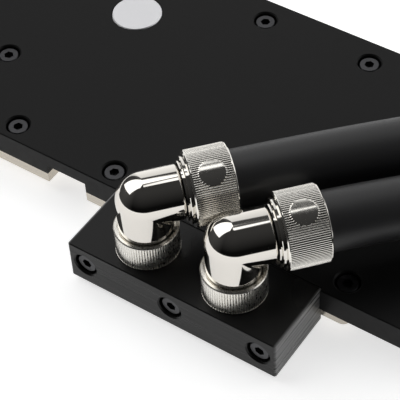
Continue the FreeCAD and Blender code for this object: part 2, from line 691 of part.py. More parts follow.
def make_terminal():
    body = new_body("terminal_block")
    low = "%s - terminal_height" % TOP
    face = "%s - terminal_depth" % FRONT
    sketch = new_sketch(body, "XY_Plane", low)
    rectangle(sketch, "-terminal_length / 2", face, "terminal_length / 2", FRONT)
    pad(body, sketch, "terminal_height")
    half = value("terminal_length / 2")
    front = value(face)
    dress(body, "Fillet", "terminal_edge", upright_at([(-half, front), (half, front)]))
    dress(body, "Chamfer", "edge_break", at_height(value(TOP)))
    for radius, depth in (("thread_radius + thread_fit", "port_depth"),
                          ("port_well_radius", "port_well")):
        sketch = new_sketch(body, "XY_Plane", TOP)
        for x in PORTS.values():
            circle(sketch, x, PORT_Y, radius)
        pocket(body, sketch, depth)
    # ways out of the rear face, with a seal groove round each
    rear = "plate_depth / 2"
    sketch = new_sketch(body, "XZ_Plane", rear)
    for x in PORTS.values():
        slot(sketch, x, WAY_Z, "way_half", "way_radius")
    pocket(body, sketch, "port_inset", reverse=True)
    sketch = new_sketch(body, "XZ_Plane", rear)
    for x in PORTS.values():
        way_seal_outline(sketch, x, "0")
    pocket(body, sketch, "way_seal_depth", reverse=True)
    # screw holes from the front face
    height = "%s - terminal_screw_drop" % TOP
    sketch = new_sketch(body, "XZ_Plane", "plate_depth / 2 + terminal_depth")
    for x in TERMINAL_SCREWS:
        circle(sketch, x, height, "(screw_diameter + hole_play) / 2")
    pocket(body, sketch, "terminal_depth + 1")
    sketch = new_sketch(body, "XZ_Plane", "plate_depth / 2 + terminal_depth")
    for x in TERMINAL_SCREWS:
        circle(sketch, x, height, "counterbore / 2")
    pocket(body, sketch, "head_height + terminal_head_recess")
    rim = value("counterbore / 2")
    port_rim = value("thread_radius + thread_fit")
    top = value(TOP)
    dress(body, "Chamfer", "counterbore_edge",
          lambda edge: (is_rim(edge, rim) and abs(edge.CenterOfMass.y - front) < 1e-6)
          or (is_rim(edge, port_rim) and abs(edge.CenterOfMass.z - top) < 1e-6))
    return body


def way_seal_outline(sketch, x, inset):
    """inner and outer edge of a terminal seal, with the groove's edges moved in by an inset"""
    inner = "(way_radius + way_seal_gap + %s)" % inset
    outer = "(way_radius + way_seal_gap + way_seal_width - %s)" % inset
    slot(sketch, x, WAY_Z, "way_half", inner)
    slot(sketch, x, WAY_Z, "way_half", outer)


def make_terminal_gasket(side):
    body = new_body("terminal_gasket_" + side)
    sketch = new_sketch(body, "XZ_Plane", "plate_depth / 2")
    way_seal_outline(sketch, PORTS[side], "seal_play")
    pad(body, sketch, "way_seal_depth")
    return body


def make_cap_screw(name, length):
    """cap screw with its axis up and the underside of its head at the origin"""
    blank = turned(name + "_blank", [
        ("0", "-(%s)" % length), ("screw_diameter / 2 - 0.4", "-(%s)" % length),
        ("screw_diameter / 2", "-(%s) + 0.4" % length), ("screw_diameter / 2", "0"),
        ("head_diameter / 2", "0"), ("head_diameter / 2", "head_height - 0.3"),
        ("head_diameter / 2 - 0.3", "head_height"), ("0", "head_height")])
    socket = doc.addObject("Part::Prism", name + "_socket")
    socket.Polygon = 6
    bind(socket, "Circumradius", "socket_width / 2 / cos(30)")
    bind(socket, "Height", "socket_depth + 1")
    place(socket, "0", "0", "head_height - socket_depth")
    screw = cut(name, blank, socket)
    doc.recompute()
    return screw


def make_screws():
    seat = value("%s - head_recess - head_height" % TOP)
    length = "cover_thickness - head_recess - head_height + base_thickness - 0.3"
    master = make_cap_screw("cover_screw", length)
    spots = [FreeCAD.Placement(Vector(value(x), value(y), seat), Rotation(UP, 17.0 * i))
             for i, (x, y) in enumerate(COVER_SCREWS)]
    cover = group("cover_screws", master, spots)
    shank = "terminal_depth - terminal_head_recess - head_height + terminal_screw_grip"
    master = make_cap_screw("terminal_screw", shank)
    face = value("%s - terminal_depth + terminal_head_recess + head_height" % FRONT)
    height = value("%s - terminal_screw_drop" % TOP)
    to_front = Rotation(Vector(1, 0, 0), 90.0)
    spots = [FreeCAD.Placement(Vector(value(x), face, height), to_front.multiply(Rotation(UP, 20.0 * i)))
             for i, x in enumerate(TERMINAL_SCREWS)]
    terminal = group("terminal_screws", master, spots)
    return [cover, terminal]


def make_standoffs():
    """turned spacers with a stub in the base plate and a thread from the tip"""
    low = "(%s - standoff_height)" % BASE_LOW
    master = turned("standoff", [
        ("standoff_bore", low), ("standoff_radius - 0.3", low),
        ("standoff_radius", "%s + 0.3" % low), ("standoff_radius", BASE_LOW),
        ("standoff_stub_radius", BASE_LOW), ("standoff_stub_radius", "%s + standoff_stub" % BASE_LOW),
        ("0", "%s + standoff_stub" % BASE_LOW), ("0", "%s + standoff_bore_depth" % low),
        ("standoff_bore", "%s + standoff_bore_depth" % low)])
    spots = [FreeCAD.Placement(Vector(value(x), value(y), 0), Rotation()) for x, y in STANDOFFS]
    return group("board_standoffs", master, spots)


def star_prism(name, radius, flutes, low, high):
    """tool that leaves V flutes: a ring round a star shaped hole, between two heights"""
    outside = value(radius)
    crest = outside - value("flute_crest")
    root = crest - value("flute_depth")
    count = int(round(value(flutes)))
    corners = []
    for i in range(count):
        for reach, step in ((crest, 0.0), (root, 0.5)):
            angle = 2 * math.pi * (i + step) / count
            corners.append(Vector(reach * math.cos(angle), reach * math.sin(angle), 0))
    corners.append(corners[0])
    height = value(high) - value(low)
    star = Part.Face(Part.Wire(Part.makePolygon(corners))).extrude(Vector(0, 0, height))
    tool = doc.addObject("Part::Feature", name)
    tool.Shape = Part.makeCylinder(outside + 2.0, height).cut(star)
    return place(tool, "0", "0", low)


def make_rotary_base(side):
    """knurled collar with the threaded stub below and the swivel's socket inside"""
    name = "rotary_base_" + side
    blank = turned(name + "_blank", [
        ("bore_radius", "-stub_length"), ("thread_radius", "-stub_length"),
        ("thread_radius", "seal_groove_depth"), ("seal_groove_radius", "seal_groove_depth"),
        ("seal_groove_radius", "0"), ("collar_radius - 0.4", "0"), ("collar_radius", "0.4"),
        ("collar_radius", "collar_height - 0.3"), ("collar_radius - 0.3", "collar_height"),
        ("limb_radius + limb_play", "collar_height"),
        ("limb_radius + limb_play", "collar_height - limb_recess"),
        ("socket_radius", "collar_height - limb_recess"),
        ("socket_radius", "clip_height + clip_width"),
        ("socket_radius + clip_reach", "clip_height + clip_width"),
        ("socket_radius + clip_reach", "clip_height"), ("socket_radius", "clip_height"),
        ("socket_radius", "socket_floor"), ("bore_radius", "socket_floor")])
    flutes = star_prism(name + "_flutes", "collar_radius", "base_flutes", "base_band_low", "base_band_high")
    node = cut(name, blank, flutes)
    return place(node, PORTS[side], PORT_Y, TOP)


def make_port_seal(side):
    section = "(seal_groove_depth / 2 - seal_play / 4)"
    body = ring("port_seal_" + side, "(thread_radius + seal_groove_radius) / 2", section,
                "seal_groove_depth / 2")
    return place(body, PORTS[side], PORT_Y, TOP)


def elbow_turn():
    return Rotation(UP, value("outlet_azimuth"))


def make_elbow(side):
    """polished body: upright limb with its spigot, round corner and outlet limb"""
    name = "elbow_" + side
    spigot = "(socket_radius - swivel_play)"
    foot = "(collar_height - limb_recess + 0.1)"
    stem = turned(name + "_stem", [
        ("bore_radius", "socket_floor + 0.1"), (spigot, "socket_floor + 0.1"),
        (spigot, "clip_height"), ("%s - clip_reach" % spigot, "clip_height"),
        ("%s - clip_reach" % spigot, "clip_height + clip_width"), (spigot, "clip_height + clip_width"),
        (spigot, "swivel_groove_height"), ("swivel_groove_radius", "swivel_groove_height"),
        ("swivel_groove_radius", "swivel_groove_height + swivel_groove_width"),
        (spigot, "swivel_groove_height + swivel_groove_width"), (spigot, foot),
        ("limb_radius - 0.2", foot), ("limb_radius", "%s + 0.2" % foot),
        ("limb_radius", "axis_height"), ("bore_radius", "axis_height")])
    corner = doc.addObject("Part::Sphere", name + "_corner")
    bind(corner, "Radius", "limb_radius")
    place(corner, "0", "0", "axis_height")
    along = Rotation(Vector(0, 1, 0), 90.0)
    outlet = cylinder(name + "_outlet", "limb_radius", "outlet_reach", "axis_height", along)
    sharp = fuse(name + "_sharp", [stem, corner, outlet])
    sharp.Refine = True
    limb, rise, reach = value("limb_radius"), value("axis_height"), value("outlet_reach")

    def crotch(edge):
        box = edge.BoundBox
        return box.XMin > -0.01 and box.XMax < limb + 0.01 and edge.Length > limb * 1.5 \
            and box.ZMin > rise - limb - 0.01 and box.ZMax < rise + 0.01

    def rim(edge):
        return edge.BoundBox.XMin > reach - 0.01 and edge.Length > limb * 4

    outside = round_edges(name + "_outside", sharp, [("crotch_radius", crotch), ("outlet_edge", rim)])
    upright_bore = cylinder(name + "_bore", "bore_radius", "axis_height")
    corner_bore = doc.addObject("Part::Sphere", name + "_bore_corner")
    bind(corner_bore, "Radius", "bore_radius")
    place(corner_bore, "0", "0", "axis_height")
    outlet_bore = cylinder(name + "_outlet_bore", "bore_radius", "outlet_reach", "axis_height", along)
    thread = cylinder(name + "_thread", "thread_radius + thread_fit", "outlet_thread + 1",
                      "axis_height", along, "outlet_reach - outlet_thread")
    inside = fuse(name + "_inside", [upright_bore, corner_bore, outlet_bore, thread])
    node = cut(name, outside, inside)
    return place(node, PORTS[side], PORT_Y, TOP, elbow_turn())


def make_swivel_seal(side):
    body = ring("swivel_seal_" + side, "(swivel_groove_radius + socket_radius) / 2",
                "(socket_radius - swivel_groove_radius) / 2 - 0.02",
                "swivel_groove_height + swivel_groove_width / 2")
    return place(body, PORTS[side], PORT_Y, TOP)


def make_swivel_clip(side):
    """open snap ring in the grooves of spigot and base"""
    inner = "(socket_radius - swivel_play - clip_reach + 0.05)"
    outer = "(socket_radius + clip_reach - 0.08)"
    body = turned("swivel_clip_" + side, [
        (inner, "clip_height + 0.06"), (outer, "clip_height + 0.06"),
        (outer, "clip_height + clip_width - 0.06"), (inner, "clip_height + clip_width - 0.06")],
        angle=315.0)
    return place(body, PORTS[side], PORT_Y, TOP)


# places along an outlet, measured from the port's axis
RING_FACE = "(outlet_reach + face_gap)"
FLANGE_NEAR = "(outlet_reach + face_gap + ring_width + neck_width)"
FLANGE_FAR = "(outlet_reach + face_gap + ring_width + neck_width + flange_width)"
HOSE_SEAT = "(outlet_reach + face_gap + ring_width + neck_width + flange_width + pocket_floor)"
HOSE_START = "(%s + hose_end_gap)" % HOSE_SEAT


def make_hose_barb(name):
    """stepped adapter: threaded stub, two rings, threaded sleeve and the barb in the hose"""
    sleeve_in = "(sleeve_radius - sleeve_wall)"
    barb = "(hose_bore - seal_play)"
    sleeve_end = "(%s + sleeve_length)" % FLANGE_FAR
    barb_end = "(%s + barb_length)" % HOSE_SEAT
    groove = "(%s + barb_seal_depth)" % RING_FACE
    return turned(name, [
        ("bore_radius", "barb_start"), ("thread_radius - 0.4", "barb_start"),
        ("thread_radius", "barb_start + 0.4"), ("thread_radius", "%s - undercut_length" % RING_FACE),
        ("thread_radius - undercut_depth", "%s - undercut_length" % RING_FACE),
        ("thread_radius - undercut_depth", groove), ("seal_groove_radius", groove),
        ("seal_groove_radius", RING_FACE),
        ("ring_radius", RING_FACE), ("ring_radius", "%s + ring_width" % RING_FACE),
        ("neck_radius", "%s + ring_width" % RING_FACE), ("neck_radius", FLANGE_NEAR),
        ("flange_radius - 0.2", FLANGE_NEAR), ("flange_radius", "%s + 0.2" % FLANGE_NEAR),
        ("flange_radius", FLANGE_FAR), ("sleeve_radius", FLANGE_FAR),
        ("sleeve_radius", sleeve_end), (sleeve_in, sleeve_end), (sleeve_in, HOSE_SEAT),
        (barb, HOSE_SEAT), (barb, "%s - 1" % barb_end), ("%s - barb_taper" % barb, barb_end),
        ("bore_radius", barb_end)])


def make_barb_seal(name):
    gap = "(barb_seal_depth + face_gap)"
    return ring(name, "(thread_radius + seal_groove_radius) / 2", "%s / 2 - seal_play / 2" % gap,
                "outlet_reach + %s / 2" % gap)


def make_nut(name, side):
    """compression collar: fluted between two plain rims, with a smooth round patch"""
    end = "(nut_start + nut_length)"
    wide = "(sleeve_radius + nut_play)"
    narrow = "(hose_radius + nut_play)"
    shoulder = "(nut_start + nut_thread_depth)"
    blank = turned(name + "_blank", [
        (wide, "nut_start"), ("nut_radius - nut_edge", "nut_start"),
        ("nut_radius", "nut_start + nut_edge"), ("nut_radius", "%s - nut_edge" % end),
        ("nut_radius - nut_edge", end), (narrow, end), (narrow, shoulder), (wide, shoulder)])
    flutes = star_prism(name + "_star", "nut_radius", "nut_flutes", "nut_start + nut_rim",
                        "%s - nut_rim" % end)
    patch = cylinder(name + "_patch", "nut_pad_radius", "nut_radius + 3", "nut_start + nut_length / 2",
                     Rotation(Vector(0, 1, 0), -90.0))
    swung = Rotation(UP, value("nut_pad_angle_" + side)).multiply(Rotation(Vector(0, 1, 0), -90.0))
    place(patch, "0", "0", "nut_start + nut_length / 2", swung)
    return cut(name, blank, cut(name + "_flutes", flutes, patch))


def along_outlet(obj, side):
    """lay a turned piece's axis along the outlet of an elbow"""
    turn = elbow_turn().multiply(Rotation(Vector(0, 1, 0), 90.0))
    return place(obj, PORTS[side], PORT_Y, "%s + axis_height" % TOP, turn)


# Hose routes: along the outlet, to its left, and up from its axis, chosen by hand
ROUTES = {
    "a": [(118.0, 0.0, 0.0), (240.0, -3.0, -29.0), (322.0, -12.0, -26.2)],
    "b": [(84.0, 0.0, 0.0), (205.0, -4.0, -29.0), (284.0, -16.0, -26.2)],
}


def route_points(side):
    """the hose's route in the part's frame"""
    turn = elbow_turn()
    origin = Vector(value(PORTS[side]), value(PORT_Y), value("%s + axis_height" % TOP))
    start = (value(HOSE_START), 0.0, 0.0)
    return [origin + turn.multVec(Vector(*point)) for point in [start] + ROUTES[side]]


def route_wire(points):
    """straight runs joined by tangent arcs, each as large as its two runs allow"""
    edges = []
    start = points[0]
    for before, corner, after in zip(points, points[1:], points[2:]):
        into = (corner - before).normalize()
        out = (after - corner).normalize()
        turn = into.getAngle(out)
        tangent = 0.45 * min((corner - before).Length, (after - corner).Length)
        radius = tangent / math.tan(turn / 2)
        inward = (out - into).normalize()
        first = corner - into * tangent
        last = corner + out * tangent
        middle = corner + inward * (radius / math.cos(turn / 2) - radius)
        edges.append(Part.LineSegment(start, first).toShape())
        edges.append(Part.Arc(first, middle, last).toShape())
        print("arc radius %.0f mm, turn %.1f degrees" % (radius, math.degrees(turn)))
        start = last
    edges.append(Part.LineSegment(start, points[-1]).toShape())
    return Part.Wire(edges)


def make_hose(side):
    """rubber hose swept along its route"""
    points = route_points(side)
    spine = route_wire(points)
    ahead = (points[1] - points[0]).normalize()
    outer = Part.Wire(Part.makeCircle(value("hose_radius"), points[0], ahead))
    inner = Part.Wire(Part.makeCircle(value("hose_bore"), points[0], ahead))
    solid = spine.makePipeShell([outer], True, False).cut(spine.makePipeShell([inner], True, False))
    section = math.pi * (value("hose_radius") ** 2 - value("hose_bore") ** 2)
    print("hose %s: length %.1f, volume over section %.1f, lowest %.2f" % (
        side, spine.Length, solid.Volume / section, solid.BoundBox.ZMin))
    node = doc.addObject("Part::Feature", "hose_" + side)
    node.Label = "hose_" + side
    node.Shape = solid
    node.Placement = FreeCAD.Placement()
    return node


def at_far_end(obj, side):
    """lay a turned fitting piece on the far end of a hose, facing back along it"""
    points = route_points(side)
    ahead = (points[-1] - points[-2]).normalize()
    origin = points[-1] + ahead * value(HOSE_START)
    obj.Placement = FreeCAD.Placement(origin, Rotation(UP, ahead * -1))
    return obj


def make_fitting(side):
    nodes = [make_rotary_base(side), make_port_seal(side), make_elbow(side), make_swivel_seal(side),
             make_swivel_clip(side)]
    nodes.append(along_outlet(make_hose_barb("hose_barb_" + side), side))
    nodes.append(along_outlet(make_barb_seal("barb_seal_" + side), side))
    nodes.append(along_outlet(make_nut("collar_" + side, side), side))
    nodes.append(make_hose(side))
    nodes.append(at_far_end(make_hose_barb("end_barb_" + side), side))
    nodes.append(at_far_end(make_barb_seal("end_seal_" + side), side))
    nodes.append(at_far_end(make_nut("end_collar_" + side, side), side))
    return nodes


def check_objects():
    for obj in doc.Objects:
        if "Invalid" in obj.State or "Error" in obj.State:
            raise RuntimeError("%s failed: %s" % (obj.Label, obj.State))


def export(nodes):
    os.makedirs("parts", exist_ok=True)
    for node in nodes:
        shape = node.Shape
        if shape.isNull() or not shape.isValid() or not shape.Solids:
            raise RuntimeError("%s has no valid solid" % node.Label)
    for node in nodes:
        node.Shape.exportStep("parts/%s.step" % node.Label)


nodes = [make_base_plate(), make_cover_gasket(), make_jet_plate(), make_cover_plate(), make_badge(),
         make_terminal(), make_terminal_gasket("a"), make_terminal_gasket("b")]
nodes += make_screws()
nodes.append(make_standoffs())
for side in PORTS:
    nodes += make_fitting(side)
doc.recompute()
check_objects()
export(nodes)
print("%d nodes, %d solids" % (len(nodes), sum(len(node.Shape.Solids) for node in nodes)))
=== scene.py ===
"""Liquid cooling cold plate: finishes, ridged rings, hoses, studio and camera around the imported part."""
import json
import math
from types import SimpleNamespace

import bmesh
import bpy
from mathutils import Matrix, Vector


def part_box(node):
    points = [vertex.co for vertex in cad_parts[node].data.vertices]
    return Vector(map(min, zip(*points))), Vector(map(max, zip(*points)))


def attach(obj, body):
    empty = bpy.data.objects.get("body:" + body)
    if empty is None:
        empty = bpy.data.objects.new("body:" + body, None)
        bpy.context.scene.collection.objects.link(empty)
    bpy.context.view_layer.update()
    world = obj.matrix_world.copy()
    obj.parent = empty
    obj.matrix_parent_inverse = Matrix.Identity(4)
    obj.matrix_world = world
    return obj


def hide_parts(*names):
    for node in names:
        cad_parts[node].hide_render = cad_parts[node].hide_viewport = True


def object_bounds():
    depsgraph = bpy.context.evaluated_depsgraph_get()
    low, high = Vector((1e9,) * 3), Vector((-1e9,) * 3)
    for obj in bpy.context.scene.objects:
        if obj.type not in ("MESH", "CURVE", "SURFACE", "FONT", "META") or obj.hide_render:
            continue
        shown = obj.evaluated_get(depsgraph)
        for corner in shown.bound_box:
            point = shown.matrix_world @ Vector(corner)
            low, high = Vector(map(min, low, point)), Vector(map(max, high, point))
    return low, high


bl_info = {
    "name": "Liquid Cooling Cold Plate",
    "version": (1, 0, 0),
    "blender": (4, 5, 0),
    "location": "3D View > Sidebar > Cold Plate",
    "description": "Dresses a cold plate with its terminal, swivel elbows and hoses",
    "category": "Object",
}

MM = 0.001
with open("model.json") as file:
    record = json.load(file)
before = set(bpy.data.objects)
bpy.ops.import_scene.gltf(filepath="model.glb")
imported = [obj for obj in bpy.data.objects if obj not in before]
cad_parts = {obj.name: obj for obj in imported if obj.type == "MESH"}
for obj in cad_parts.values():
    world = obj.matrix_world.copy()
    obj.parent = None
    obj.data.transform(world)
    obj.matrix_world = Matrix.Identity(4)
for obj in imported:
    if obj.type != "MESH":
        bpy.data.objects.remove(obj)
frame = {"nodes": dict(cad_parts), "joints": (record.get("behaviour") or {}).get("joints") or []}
cad_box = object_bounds()
NODES = frame["nodes"]
SIDES = ("a", "b")

# The part's own sizes, in millimetres and degrees. Heights on a collar run along the outlet from
# the swivel axis; heights on a rotary base run up from the terminal's top.
OUTLET_AZIMUTH = 48.2
COLLAR = SimpleNamespace(radius=12.15, start=13.85, end=27.5, edge=0.35, rim=0.6, bore=10.58,
                         neck=9.58, shoulder=18.45, rows=48)
ROTARY_BASE = SimpleNamespace(radius=10.3, height=10.0, edge=0.3, foot_edge=0.4, band=(0.45, 9.6),
                              bore=4.6, thread=6.58, stub=6.0, seal_groove=8.2, seal_depth=1.4,
                              recess=9.15, recess_depth=1.0, socket=7.3, clip_groove=8.0,
                              clip_low=3.2, clip_high=4.2, socket_floor=2.6)
# The round pad on a collar: its radius, and how far it leans from straight up
PAD_RADIUS = 4.26
PAD_LEAN = {"a": 25.2, "b": 20.0}
# Where the terminal's rounded ends begin and stop, from its middle
TERMINAL_ENDS = (37.7, 38.5)
# Where a hose starts on its outlet, and its route: along the outlet, to its left, up from its axis
HOSE_START = 15.05
HOSE_ROUTES = {
    "a": [(118.0, 0.0, 0.0), (240.0, -3.0, -29.0), (322.0, -12.0, -26.2)],
    "b": [(84.0, 0.0, 0.0), (205.0, -4.0, -29.0), (284.0, -16.0, -26.2)],
}


def joint_place(side):
    """where an elbow's swivel axis crosses its outlet axis, from the frame's own joints"""
    found = [joint for joint in frame["joints"] if joint["name"] == "elbow_%s_swivel" % side]
    return Vector(found[0]["pos_m"])


def outlet_turn():
    """turn from +X to the way the outlets point"""
    return Matrix.Rotation(math.radians(OUTLET_AZIMUTH), 3, "Z")


def show(name, data):
    """new object at the origin"""
    made = bpy.data.objects.new(name, data)
    bpy.context.scene.collection.objects.link(made)
    return made


# Colours and nodes, for the finishes and the studio

def linear(hex_colour):
    """sRGB hex to a linear colour with full alpha"""
    def channel(start):
        value = int(hex_colour[start:start + 2], 16) / 255
        return value / 12.92 if value <= 0.04045 else ((value + 0.055) / 1.055) ** 2.4
    return (channel(1), channel(3), channel(5), 1.0)


def add(tree, kind, inputs=(), **settings):
    """add a node with its settings and its inputs, which go by name or in the sockets' order; an
    input is a value, or the socket or node that feeds it"""
    made = tree.nodes.new(kind)
    for name, value in settings.items():
        setattr(made, name, value)
    if not isinstance(inputs, dict):
        inputs = dict(enumerate(inputs))
    for name, value in inputs.items():
        if isinstance(value, bpy.types.Node):
            value = next(socket for socket in value.outputs if socket.enabled)
        if isinstance(value, bpy.types.NodeSocket):
            tree.links.new(value, made.inputs[name])
        else:
            made.inputs[name].default_value = value
    return made


# Finishes

# The part of a noise's range that nearly all of it lies in
NOISE_SPAN = (0.3, 0.7)


def finish(name, colour, metallic=0.0, **inputs):
    """new material, its tree and its shader; colour names one of the panel's colours"""
    material = bpy.data.materials.new(name)
    material.use_nodes = True
    shader = material.node_tree.nodes["Principled BSDF"]
    shader.inputs["Base Color"].default_value = getattr(bpy.context.scene.coldplate_colours, colour)
    shader.inputs["Metallic"].default_value = metallic
    for socket, value in inputs.items():
        shader.inputs[socket.replace("_", " ")].default_value = value
    return material, material.node_tree, shader


def lumps(tree, per_mm, detail=3.0, scale=(1.0, 1.0, 1.0)):
    """noise with so many lumps to the millimetre, drawn out along an axis where its scale is small"""
    place = add(tree, "ShaderNodeTexCoord").outputs["Object"]
    drawn_out = add(tree, "ShaderNodeMapping", {"Vector": place, "Scale": scale})
    return add(tree, "ShaderNodeTexNoise", {"Vector": drawn_out, "Scale": per_mm / MM, "Detail": detail})


def texture(tree, shader, rough, raised=None):
    """let noises carry a surface's roughness and relief

    rough is a noise with the least and the most roughness, raised one with its height in
    millimetres and how strongly it shows."""
    noise, least, most = rough
    wander = add(tree, "ShaderNodeMapRange", (noise, *NOISE_SPAN, least, most))
    tree.links.new(wander.outputs["Result"], shader.inputs["Roughness"])
    if raised:
        noise, height, strength = raised
        relief = add(tree, "ShaderNodeBump", {"Height": noise, "Distance": height * MM,
                                              "Strength": strength})
        tree.links.new(relief.outputs["Normal"], shader.inputs["Normal"])


def black_acetal():
    """face milled black acetal: dense black with a low, waxy sheen and fine cutter marks"""
    material, tree, shader = finish("black_acetal", "acetal", IOR=1.48, Specular_IOR_Level=0.15)
    # 0.25 mm apart in the real surface, drawn 0.6 mm apart so that they show
    cutter_marks = lumps(tree, 1.6, scale=(0.06, 1.0, 1.0))
    texture(tree, shader, (lumps(tree, 0.4), 0.36, 0.46), (cutter_marks, 0.004, 0.5))
    return material


def milled_acetal():
    """the same acetal cut to size: duller streaks 1 to 2 mm high run round the block; on the two ends the
    streaks carry a painted reflection in a paler grey
    """
    material, tree, shader = finish("milled_acetal", "acetal", IOR=1.48, Specular_IOR_Level=0.25)
    streaks = lumps(tree, 0.9, 2.0, (0.03, 0.03, 1.0))
    texture(tree, shader, (streaks, 0.22, 0.44), (streaks, 0.012, 0.6))
    # painted reflection on the two ends: the real milling streaks there are drawn a paler grey, which
    # stands in for the light these ends reflect at a grazing angle
    place = add(tree, "ShaderNodeTexCoord").outputs["Object"]
    across = add(tree, "ShaderNodeSeparateXYZ", {"Vector": place}).outputs["X"]
    from_middle = add(tree, "ShaderNodeMath", [across], operation="ABSOLUTE")
    at_end = add(tree, "ShaderNodeMapRange", (from_middle, *(edge * MM for edge in TERMINAL_ENDS)))
    in_streak = add(tree, "ShaderNodeMapRange", (streaks, *NOISE_SPAN))
    painted_end_reflection = add(tree, "ShaderNodeMath", (at_end, in_streak), operation="MULTIPLY")
    colours = bpy.context.scene.coldplate_colours
    # sockets 0, 6 and 7 are the factor and the two colours
    mixed = add(tree, "ShaderNodeMix", {0: painted_end_reflection, 6: colours.acetal, 7: colours.painted_end_reflection}, data_type="RGBA")
    tree.links.new(mixed.outputs[2], shader.inputs["Base Color"])
    return material


def polished_nickel():
    """bright nickel plate on turned and polished brass: a slightly warm, sharp mirror"""
    material, tree, shader = finish("polished_nickel", "nickel", 1.0)
    texture(tree, shader, (lumps(tree, 0.12), 0.03, 0.07))
    return material


def knurled_nickel():
    """the same plate over fine ridges: each crest glints, and is a little softer than the mirror"""
    material, tree, shader = finish("knurled_nickel", "ridge_nickel", 1.0)
    texture(tree, shader, (lumps(tree, 0.8), 0.1, 0.15))
    return material


def satin_nickel():
    """the plate over coarser, unpolished ridges: a soft sheen that fades round the ring"""
    material, tree, shader = finish("satin_nickel", "ridge_nickel", 1.0)
    texture(tree, shader, (lumps(tree, 0.8), 0.25, 0.31))
    return material


def plated_base():
    """nickel over milled copper: pale and satin, with a faint grain along the plate"""
    material, tree, shader = finish("plated_copper_base", "base_nickel", 1.0)
    grain = lumps(tree, 2.0, scale=(0.05, 1.0, 1.0))
    texture(tree, shader, (grain, 0.22, 0.36), (grain, 0.003, 0.4))
    return material


def hose_rubber():
    """extruded EPDM rubber: matt black with a broad, faint highlight and a fine skin"""
    material, tree, shader = finish("epdm_rubber", "rubber", IOR=1.5)
    skin = lumps(tree, 2.2, 4.0)
    texture(tree, shader, (skin, 0.38, 0.52), (skin, 0.012, 0.6))
    return material


def seal_rubber():
    """moulded nitrile rubber: even, dull black"""
    material, tree, shader = finish("nitrile_rubber", "seal", IOR=1.52)
    texture(tree, shader, (lumps(tree, 1.5), 0.42, 0.58))
    return material


def black_oxide_steel():
    """hardened screws with a black oxide skin: dark grey metal, slightly worn on its crests"""
    material, tree, shader = finish("black_oxide_steel", "screw", 1.0)
    texture(tree, shader, (lumps(tree, 0.7, 4.0), 0.28, 0.42))
    return material


def blasted_aluminium():
    """bead blasted, clear anodised aluminium: even, pale and without a glint"""
    material, tree, shader = finish("blasted_aluminium", "badge", 1.0)
    grains = lumps(tree, 3.0, 2.0)
    texture(tree, shader, (grains, 0.34, 0.5), (grains, 0.006, 0.5))
    return material


def rolled_stainless():
    """cold rolled stainless sheet, brushed one way: a highlight drawn out across the grain"""
    material, tree, shader = finish("rolled_stainless", "stainless", 1.0)
    texture(tree, shader, (lumps(tree, 3.0, scale=(0.04, 1.0, 1.0)), 0.24, 0.4))
    return material


def spring_steel():
    """oiled spring steel wire: blue grey and half dull"""
    material, tree, shader = finish("spring_steel", "spring", 1.0)
    texture(tree, shader, (lumps(tree, 0.9), 0.3, 0.44))
    return material


def turned_brass():
    """free cutting brass: yellow, bright from the lathe"""
    material, tree, shader = finish("turned_brass", "brass", 1.0)
    texture(tree, shader, (lumps(tree, 3.0, scale=(0.1, 0.1, 1.0)), 0.18, 0.32))
    return material


def coat(material, *nodes):
    """give nodes of the part one finish"""
    for node in nodes:
        materials = NODES[node].data.materials
        materials.clear()
        materials.append(material)


def both(*names):
    """the nodes of both fittings"""
    return ["%s_%s" % (name, side) for side in SIDES for name in names]


# Ridged rings: the collars on the hoses and the bases under the elbows. The solids have the same
# rings with plain V grooves; these have the rounded ridges of the real ones.

# Points round each ridge
RIDGE_STEPS = 8
# The ridges' crests lie RIM_STEP below the plain rims, and a rim ends within STEP_WIDTH
RIM_STEP = 0.04
STEP_WIDTH = 0.02
# A point this near to the outside counts as on it
TOUCH = 0.001
# An edge that bends more than this stays sharp
SHARP_FROM = math.radians(30.0)


def ridge_depth(turn, count, radius, tilt):
    """how far a rounded ridge lies below its crest, at an angle round the ring; tilt is how far
    its flanks lean where they meet"""
    pitch = 2 * math.pi * radius / count
    bend = pitch / 2 / math.sin(tilt)
    from_crest = abs((turn * count / (2 * math.pi) + 0.5) % 1.0 - 0.5) * pitch
    return bend - math.sqrt(bend ** 2 - from_crest ** 2)


def turned(section, segments):
    """turn a closed line of (radius, height) round the Z axis"""
    shape = bmesh.new()
    radius, height = section[0]
    bmesh.ops.create_circle(shape, segments=segments, radius=radius,
                            matrix=Matrix.Translation((0, 0, height)))
    start = rim = shape.edges[:]
    for radius, height in section[1:]:
        grown = bmesh.ops.extrude_edge_only(shape, edges=rim)["geom"]
        for vert in (item for item in grown if isinstance(item, bmesh.types.BMVert)):
            vert.co.xy *= radius / vert.co.xy.length
            vert.co.z = height
        rim = [item for item in grown if isinstance(item, bmesh.types.BMEdge) and item.is_boundary]
    bmesh.ops.bridge_loops(shape, edges=start + rim)
    return shape


def ridged_ring(name, section, band, ridges, place, pad=None):
    """turned ring with rounded ridges in a band of heights

    ridges are their count and tilt, place puts the ring's own frame, and pad is the middle of a
    round place without ridges, in that frame."""
    count, tilt = ridges
    shape = turned(section, count * RIDGE_STEPS)
    outside = max(radius for radius, height in section)
    low, high = band[0] + STEP_WIDTH / 2, band[1] - STEP_WIDTH / 2
    for vert in shape.verts:
        ridged = vert.co.xy.length > outside - TOUCH and low < vert.co.z < high
        if ridged and (pad is None or (vert.co - pad).length > PAD_RADIUS):
            turn = math.atan2(vert.co.y, vert.co.x)
            vert.co.xy *= (outside - RIM_STEP - ridge_depth(turn, count, outside, tilt)) / outside
    bmesh.ops.recalc_face_normals(shape, faces=shape.faces)
    mesh = bpy.data.meshes.new(name)
    shape.to_mesh(mesh)
    shape.free()
    mesh.transform(place @ Matrix.Scale(MM, 4))
    mesh.shade_smooth()
    mesh.set_sharp_from_angle(angle=SHARP_FROM)
    return show(name, mesh)


